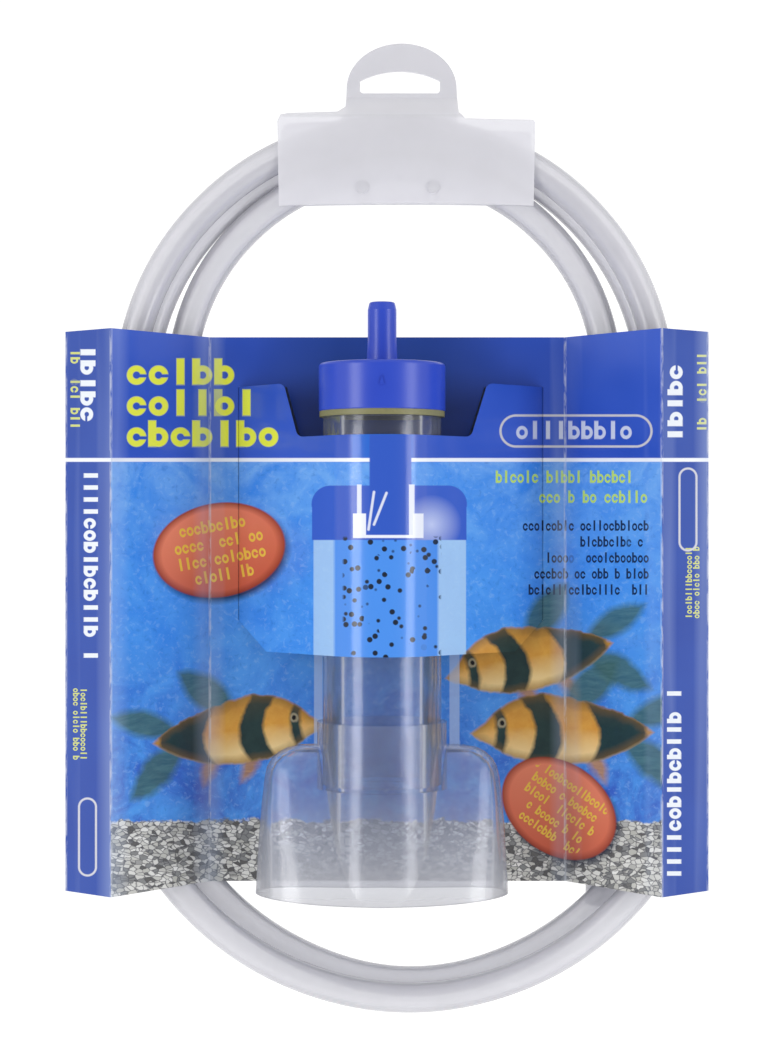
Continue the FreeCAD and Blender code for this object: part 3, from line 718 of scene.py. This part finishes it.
def arc_points(centre, radius_from, radius_to, y_from, y_mid, y_to, angles):
    """Corners of a control polygon round an arc, drifting in radius and in depth."""
    step = abs(angles[1] - angles[0])
    grow = 1 / math.cos(math.radians(step / 2))
    points = []
    for angle in angles:
        t = (angle - angles[0]) / (angles[-1] - angles[0])
        radius = (radius_from + (radius_to - radius_from) * t) * grow
        if t < 0.5:
            y = y_from + (y_mid - y_from) * 2 * t
        else:
            y = y_mid + (y_to - y_mid) * (2 * t - 1)
        turn = math.radians(angle)
        points.append((centre[0] + radius * math.cos(turn), y, centre[1] + radius * math.sin(turn)))
    return points


def hose_route():
    """The coil's control points in metres: a little over two turns."""
    top_angles = [top_step * i for i in range(7)]
    route = [(81.5, 16.6, -331.0), (82.5, 16.4, -290.0), (84.0, 14.0, -245.0), (85.5, 11.0, side_z)]
    route += arc_points(inner_top_centre, 84.5, 87.5, 8.0, 0.0, 9.0, top_angles)
    route.append((-91.0, 9.6, side_z))
    route += arc_points(bottom_centre, 110.5, 118.0, 10.6, 11.2, 5.8, bottom_angles[:3])
    route += arc_points(bottom_centre, 118.0, 112.0, 5.6, 4.2, 5.2, bottom_angles[2:])[1:]
    route.append((105.0, 6.3, side_z))
    route += arc_points(top_centre, 101.5, 104.0, 6.3, 6.3, 6.5, top_angles)
    route.append((-107.0, 6.8, side_z))
    route += arc_points(bottom_centre, 121.0, 121.0, 2.8, -2.6, -7.8, bottom_angles[:3])
    route += arc_points(bottom_centre, 121.0, 119.5, -7.8, -8.6, -7.6, bottom_angles[2:])[1:]
    route.append((107.5, -6.3, side_z))
    route += arc_points(top_centre, 103.2, 108.0, -6.2, -6.2, -6.4, top_angles)
    route.append((-111.2, -6.6, side_z + 18))
    return [tuple(mm(value) for value in point) for point in route]


def make_hose():
    route = hose_route()
    curve = bpy.data.curves.new("hose_coil", "CURVE")
    curve.dimensions = "3D"
    line = curve.splines.new("NURBS")
    line.points.add(len(route) - 1)
    for point, place in zip(line.points, route):
        point.co = (*place, 1.0)
    line.order_u = 3
    line.use_endpoint_u = True
    line.resolution_u = 14
    curve.bevel_depth = mm(hose_r)
    curve.bevel_resolution = 10
    curve.use_fill_caps = True
    hose = bpy.data.objects.new("hose_coil", curve)
    bpy.context.scene.collection.objects.link(hose)
    hose.data.materials.append(hose_plastic())
    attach(hose, "pack")
    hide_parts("hose")


# ---------------------------------------------------------------- stage
def make_stage():
    """A pale paper sweep: floor, curve and a wall far enough back to walk behind the pack."""
    mesh = bpy.data.meshes.new("backdrop")
    shape = bmesh.new()
    floor_z, wall_y, bend, top = -1.5, 3.2, 0.8, 3.6
    half_width = 3.2
    steps = 12
    profile = [(-wall_y, floor_z), (wall_y - bend, floor_z)]
    for i in range(1, steps + 1):
        turn = math.radians(90.0 * i / steps)
        profile.append((wall_y - bend + bend * math.sin(turn), floor_z + bend * (1 - math.cos(turn))))
    profile.append((wall_y, top))
    columns = [[shape.verts.new((x, y, z)) for y, z in profile] for x in (-half_width, half_width)]
    for i in range(len(profile) - 1):
        shape.faces.new((columns[0][i], columns[1][i], columns[1][i + 1], columns[0][i + 1]))
    shape.to_mesh(mesh)
    shape.free()
    for face in mesh.polygons:
        face.use_smooth = True
    backdrop = bpy.data.objects.new("backdrop", mesh)
    bpy.context.scene.collection.objects.link(backdrop)
    s = Shader("backdrop_paper")
    mesh.materials.append(s.finish(s.principled(
        Base_Color=(0.30, 0.30, 0.30), Roughness=0.9,
        Emission_Color=(1.0, 1.0, 1.0), Emission_Strength=0.82)))


def add_lamp(name, place, aim, size, power):
    lamp = bpy.data.lights.new(name, "AREA")
    lamp.shape = "RECTANGLE"
    lamp.size, lamp.size_y = size
    lamp.energy = power
    thing = bpy.data.objects.new(name, lamp)
    thing.location = place
    thing.rotation_euler = (Vector(aim) - Vector(place)).to_track_quat("-Z", "Y").to_euler()
    bpy.context.scene.collection.objects.link(thing)


def make_lights():
    """White all round and dimmer behind the camera, so that glossy faces don't wash out, with two
    tall softboxes."""
    round_strength, front_strength = 0.92, 0.28
    front_edge, front_core = -0.62, -0.97
    world = bpy.data.worlds.new("soft_sky")
    world.use_nodes = True
    tree = world.node_tree
    sky = tree.nodes["Background"]
    place = tree.nodes.new("ShaderNodeTexCoord")
    split = tree.nodes.new("ShaderNodeSeparateXYZ")
    front = tree.nodes.new("ShaderNodeMapRange")
    front.interpolation_type = "SMOOTHSTEP"
    front.inputs["From Min"].default_value = front_core
    front.inputs["From Max"].default_value = front_edge
    front.inputs["To Min"].default_value = front_strength
    front.inputs["To Max"].default_value = round_strength
    tree.links.new(place.outputs["Generated"], split.inputs[0])
    tree.links.new(split.outputs["Y"], front.inputs["Value"])
    tree.links.new(front.outputs[0], sky.inputs["Strength"])
    sky.inputs["Color"].default_value = (1.0, 1.0, 1.0, 1.0)
    bpy.context.scene.world = world
    middle = (0.0, 0.0, -0.18)
    softbox = (0.50, 0.85)
    add_lamp("softbox_left", (-1.1, -1.0, -0.15), middle, softbox, 6.4)
    add_lamp("softbox_right", (1.2, -0.9, -0.15), middle, softbox, 5.8)


def make_camera():
    """Level, at arm's length from the middle of the front."""
    distance = mm(print_distance)
    frame_height = 0.4256
    data = bpy.data.cameras.new("camera")
    data.sensor_width = 36.0
    data.lens = data.sensor_width * distance / frame_height
    camera = bpy.data.objects.new("camera", data)
    camera.location = (mm(print_middle[0]), -distance, mm(print_middle[1]))
    camera.rotation_euler = (math.radians(90.0), 0.0, 0.0)
    bpy.context.scene.collection.objects.link(camera)
    bpy.context.scene.camera = camera


make_stage()
make_lights()
make_camera()
bpy.context.scene.view_settings.view_transform = "Standard"
# The nozzle's walls overlap the tube's, so a line of sight crosses many clear layers
bpy.context.scene.cycles.transparent_max_bounces = 24

dress("cap_shell", blue_plastic())
dress("cap_seal_ring", olive_rubber())
dress("valve_body", moulded("valve_white", (0.80, 0.80, 0.78)))
dress("valve_flap", moulded("flap_white", (0.84, 0.84, 0.82)))
dress("strainer_disc", moulded("strainer_grey", (0.50, 0.52, 0.55)))
dress("siphon_tube", see_through("tube_clear", (0.50, 0.55, 0.70), (0.94, 0.945, 0.97),
                                 0.045, 0.34, 3.0, 0.11, 0.62, 0.03))
dress("nozzle", see_through("nozzle_clear", (0.53, 0.59, 0.75), (0.945, 0.95, 0.97), 0.085, 0.30, 3.0,
                            0.15, 0.62, 0.06, mist=(-0.278, -0.320, 0.30, (0.57, 0.57, 0.60))))
frosted = see_through("clip_frosted", (0.92, 0.915, 0.96), (0.94, 0.94, 0.96),
                      0.55, 0.92, 2.0, 0.32, 0.4, 0.06)
dress("hanger_front_leaf", frosted)
dress("hanger_back_leaf", frosted)
dress("hanger_posts", frosted)
dress("card_wing_left", panel_print("print_wing_left", (-112.0, -66.0, -150.0), folds_left[1:]))
dress("card_centre_panel", panel_print("print_centre", (-74.0, 70.0, -150.0),
                                       (folds_left[2], folds_right[0])))
dress("card_strap", strap_print("print_strap", (-64.0, 64.0, -54.0)))
dress("card_wing_right", panel_print("print_wing_right", (66.0, 112.0, -150.0), folds_right[:2]))
dress("card_front_side_left", side_print("print_side_left", False))
dress("card_front_side_right", side_print("print_side_right", True))
for panel in ("card_rear_side_left", "card_rear_side_right"):
    dress(panel, rear_side_print("print_" + panel))
dress("card_back_panel", back_print("print_back"))
make_hose()
